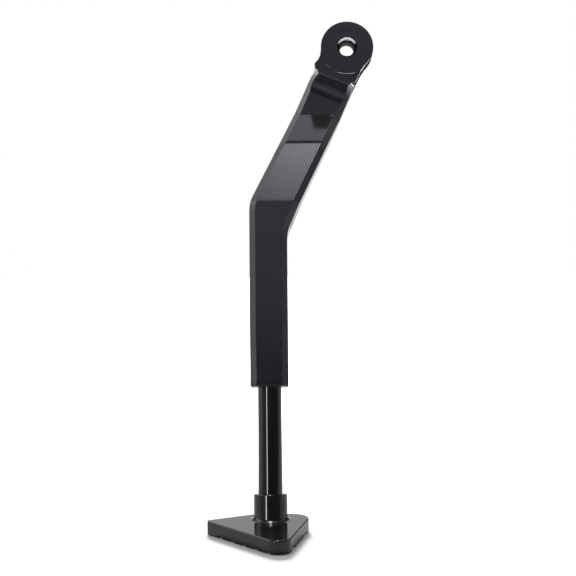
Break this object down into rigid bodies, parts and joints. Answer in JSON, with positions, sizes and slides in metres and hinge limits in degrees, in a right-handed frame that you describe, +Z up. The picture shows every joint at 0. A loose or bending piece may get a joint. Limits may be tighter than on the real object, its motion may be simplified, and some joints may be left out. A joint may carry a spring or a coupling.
{
  "type": "motorcycle side stand",
  "caption": "Adjustable side stand: a bent machined leg with a bushed pivot eye, a sliding round rod and a three-cornered foot with a grooved sole",
  "frame": {"origin": "centre of the pivot bush's bore, on the pivot axis", "axes": "+Z up with the sole level, -Y the front face with the seam and the set-back bush, +X the side the arm leans to"},
  "size_m": [0.118, 0.1478, 0.3505],
  "materials": {
    "black_anodised": "black anodised billet aluminium, satin gloss, fine machining lines",
    "black_rod": "hard black, polished smooth",
    "bush_steel": "dark plated steel, turned",
    "black_oxide_steel": "black oxide, low sheen",
    "plain_steel": "ground steel",
    "brass": "turned brass",
    "black_rubber": "nitrile rubber, matt"
  },
  "bodies": {
    "bush": {"pivot_bush": "bush_steel"},
    "stand": {"upper_arm": "black_anodised", "lower_leg": "black_anodised", "lap_screw_left": "black_oxide_steel", "lap_screw_right": "black_oxide_steel", "lap_dowel_lower": "plain_steel", "lap_dowel_upper": "plain_steel", "spring_post": "black_oxide_steel", "clamp_screw_upper": "black_oxide_steel", "clamp_screw_lower": "black_oxide_steel", "clamp_tip_upper": "brass", "clamp_tip_lower": "brass", "rod_wiper": "black_rubber"},
    "rod": {"slide_rod": "black_rod", "foot": "black_anodised", "foot_bolt": "black_oxide_steel", "foot_washer": "plain_steel", "foot_pin": "plain_steel"}
  },
  "joints": [
    {"name": "stand_swing", "type": "hinge", "parent": "bush", "child": "stand", "pos_m": [0, 0, 0], "axis": [0, -0.9836, 0.1805], "range_deg": [0, 100]},
    {"name": "rod_slide", "type": "slide", "parent": "stand", "child": "rod", "axis": [0, 0.1805, 0.9836], "range_m": [-0.02, 0.04]}
  ]
}
